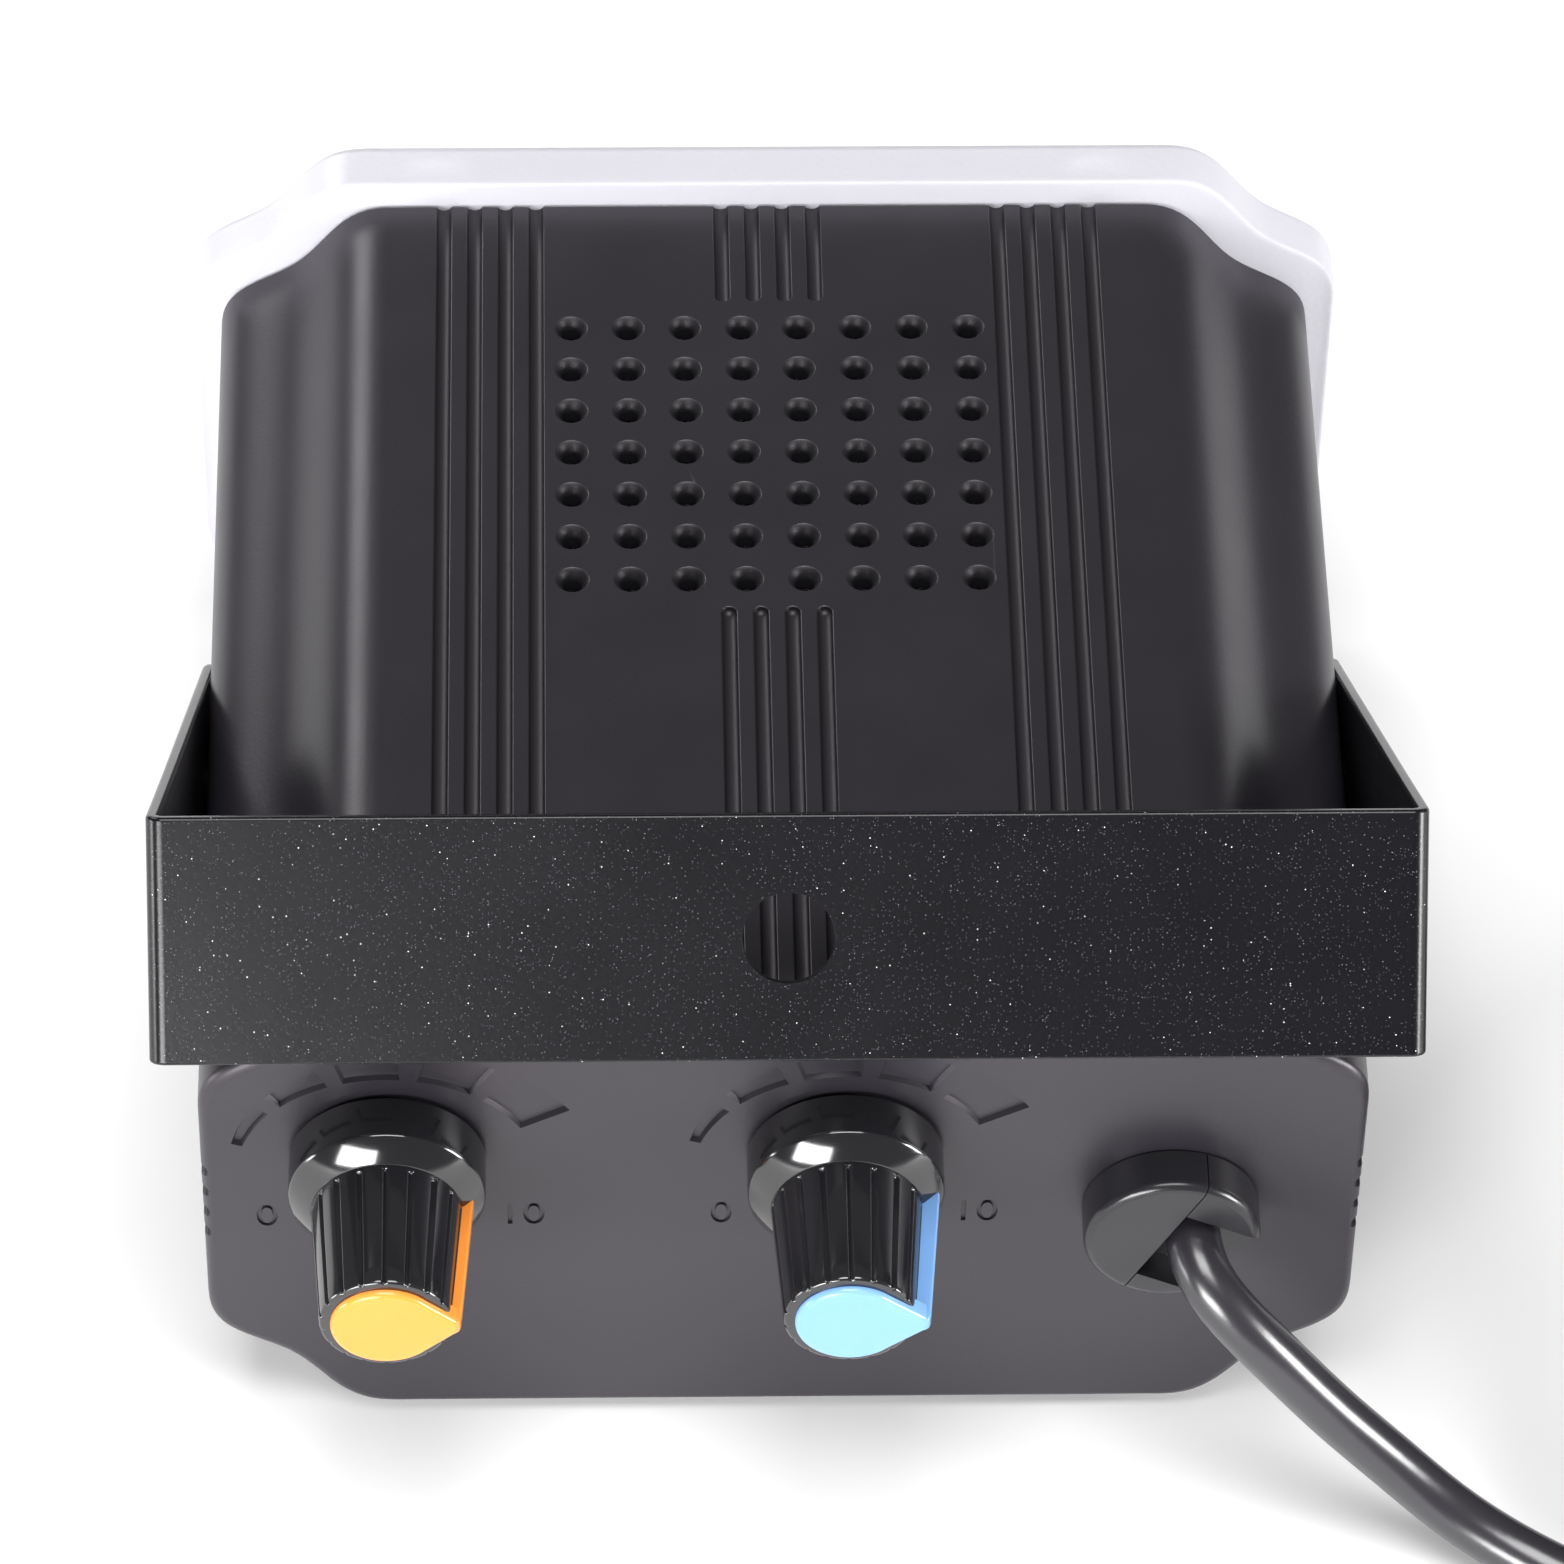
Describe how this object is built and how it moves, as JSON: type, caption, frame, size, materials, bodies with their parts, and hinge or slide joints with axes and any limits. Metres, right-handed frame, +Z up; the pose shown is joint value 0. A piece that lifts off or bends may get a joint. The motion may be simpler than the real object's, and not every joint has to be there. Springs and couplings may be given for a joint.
{
  "type": "strobe light",
  "caption": "Small LED strobe light: box housing with ogee corners, frosted cover, rear panel with speed and brightness knobs, tilting steel bracket and mains cord.",
  "frame": {"origin": "on the table under the feet, in the middle of the light without its cord", "axes": "+Y the way the beam leaves, +X to the right seen from the control panel, +Z up"},
  "size_m": [0.2129, 0.1216, 0.0687],
  "materials": {
    "housing_plastic": "moulded satin black",
    "frosted_plastic": "frosted white",
    "fastener_steel": "zinc plated",
    "foot_rubber": "matt",
    "white_laminate": "white solder mask",
    "lamp_resin": "clear with a pale phosphor",
    "green_laminate": "green solder mask",
    "film_case": "moulded",
    "capacitor_sleeve": "shrink sleeve",
    "copper_winding": "enamelled",
    "package_resin": "moulded",
    "heatsink_aluminium": "plain",
    "fuse_glass": "clear",
    "lead_jacket": "extruded",
    "pot_can": "plated",
    "shaft_aluminium": "turned",
    "knob_plastic": "glossy black",
    "amber_plastic": "glossy amber",
    "blue_plastic": "glossy sky blue",
    "relief_nylon": "moulded black",
    "washer_fibre": "pressed fibre",
    "bracket_steel": "black powder coat",
    "cord_jacket": "satin black",
    "tie_plastic": "soft strip",
    "plug_plastic": "moulded black",
    "pin_nickel": "nickel plated"
  },
  "bodies": {
    "housing": {"housing": "housing_plastic", "lens_cover": "frosted_plastic", "lens_screw_1": "fastener_steel", "lens_screw_2": "fastener_steel", "lens_screw_3": "fastener_steel", "lens_screw_4": "fastener_steel", "foot_1": "foot_rubber", "foot_2": "foot_rubber", "foot_3": "foot_rubber", "foot_4": "foot_rubber", "led_board": "white_laminate", "led_array": "lamp_resin", "led_screw_1": "fastener_steel", "led_screw_2": "fastener_steel", "led_lead": "lead_jacket", "driver_board": "green_laminate", "board_screw_1": "fastener_steel", "board_screw_2": "fastener_steel", "film_capacitor": "film_case", "bulk_capacitor": "capacitor_sleeve", "inductor": "copper_winding", "rectifier": "package_resin", "heatsink": "heatsink_aluminium", "switch_transistor": "package_resin", "controller_chip": "package_resin", "fuse": "fuse_glass", "mains_lead": "lead_jacket", "potentiometer_left": "pot_can", "pot_washer_left": "fastener_steel", "pot_nut_left": "fastener_steel", "pot_lead_left": "lead_jacket", "potentiometer_right": "pot_can", "pot_washer_right": "fastener_steel", "pot_nut_right": "fastener_steel", "pot_lead_right": "lead_jacket", "strain_relief_shell": "relief_nylon", "strain_relief_wedge": "relief_nylon", "pivot_screw_left": "fastener_steel", "pivot_washer_left": "washer_fibre", "pivot_nut_left": "fastener_steel", "pivot_screw_right": "fastener_steel", "pivot_washer_right": "washer_fibre", "pivot_nut_right": "fastener_steel", "power_cord": "cord_jacket", "cord_coil": "cord_jacket", "coil_tie": "tie_plastic", "plug_body": "plug_plastic", "plug_pin_left": "pin_nickel", "plug_pin_right": "pin_nickel"},
    "bracket": {"bracket": "bracket_steel"},
    "knob_left": {"knob_left": "knob_plastic", "pointer_left": "amber_plastic", "pot_shaft_left": "shaft_aluminium"},
    "knob_right": {"knob_right": "knob_plastic", "pointer_right": "blue_plastic", "pot_shaft_right": "shaft_aluminium"}
  },
  "joints": [
    {"name": "bracket_tilt", "type": "hinge", "parent": "housing", "child": "bracket", "pos_m": [0, 0.00747, 0.0274], "axis": [-1, 0, 0], "range_deg": [-12, 106]},
    {"name": "knob_left_turn", "type": "hinge", "parent": "housing", "child": "knob_left", "pos_m": [-0.03055, -0.03603, 0.0332], "axis": [0, 1, 0], "range_deg": [-240, 60]},
    {"name": "knob_right_turn", "type": "hinge", "parent": "housing", "child": "knob_right", "pos_m": [0.00475, -0.03603, 0.0332], "axis": [0, 1, 0], "range_deg": [-240, 60]}
  ]
}
